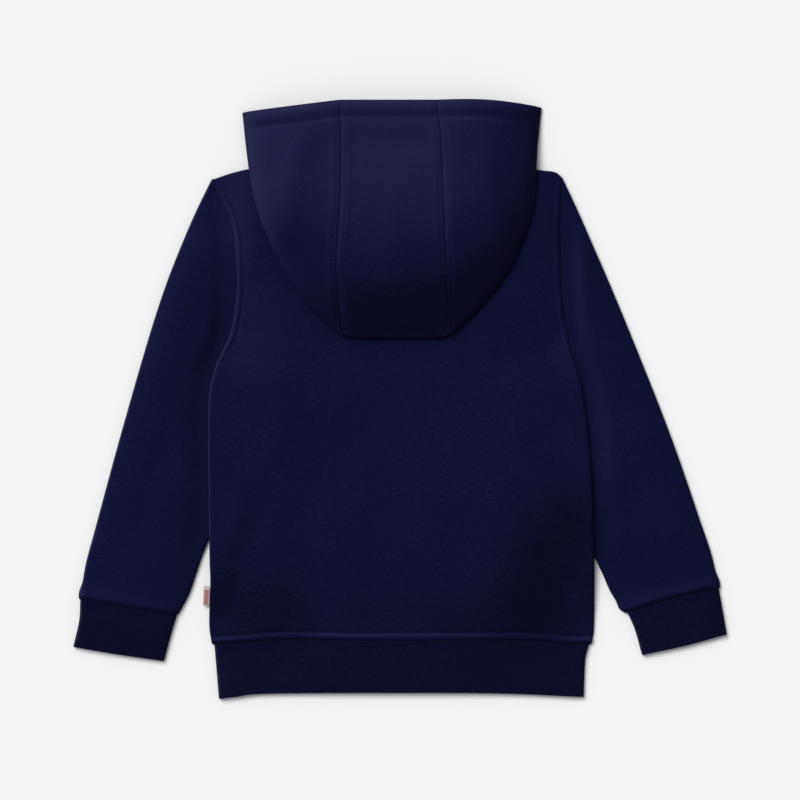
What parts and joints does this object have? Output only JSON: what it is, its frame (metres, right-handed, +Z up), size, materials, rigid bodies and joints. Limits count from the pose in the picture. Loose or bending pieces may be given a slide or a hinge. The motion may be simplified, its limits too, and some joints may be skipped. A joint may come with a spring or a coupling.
{
  "type": "child's hooded zip-through fleece cardigan, laid face down",
  "caption": "Child's hooded zip-through fleece cardigan laid face down, with its three-panel hood spread over the back, ribbed cuffs and hem band, and a closed front zip.",
  "frame": {"origin": "on the surface the garment lies on, under the middle of its bounding box", "axes": "+X toward the wearer's right sleeve, +Y from the hem toward the hood, +Z up from the surface, out of the back"},
  "size_m": [0.601, 0.55, 0.0273],
  "materials": {
    "fleece": "brushed jersey, matt with a soft nap",
    "rib": "fine 1x1 rib, matt",
    "label": "woven tape, matt",
    "zip_tape": "woven tape, matt",
    "zip_teeth": "satin",
    "zip_metal": "satin"
  },
  "bodies": {
    "garment": {"back": "fleece", "front_left": "fleece", "front_right": "fleece", "sleeve_left": "fleece", "sleeve_right": "fleece", "cuff_left": "rib", "cuff_right": "rib", "hem_band": "rib", "hood_left": "fleece", "hood_right": "fleece", "hood_centre": "fleece", "side_label": "label", "zip_tape_left": "zip_tape", "zip_tape_right": "zip_tape", "zip_teeth": "zip_teeth", "zip_slider": "zip_metal"},
    "pull_tab": {"zip_pull_tab": "zip_metal"}
  },
  "joints": [
    {"name": "pull_tab_hinge", "type": "hinge", "parent": "garment", "child": "pull_tab", "pos_m": [-0.0063, 0.15, 0.0015], "axis": [1, 0, 0], "range_deg": [0, 150]}
  ]
}
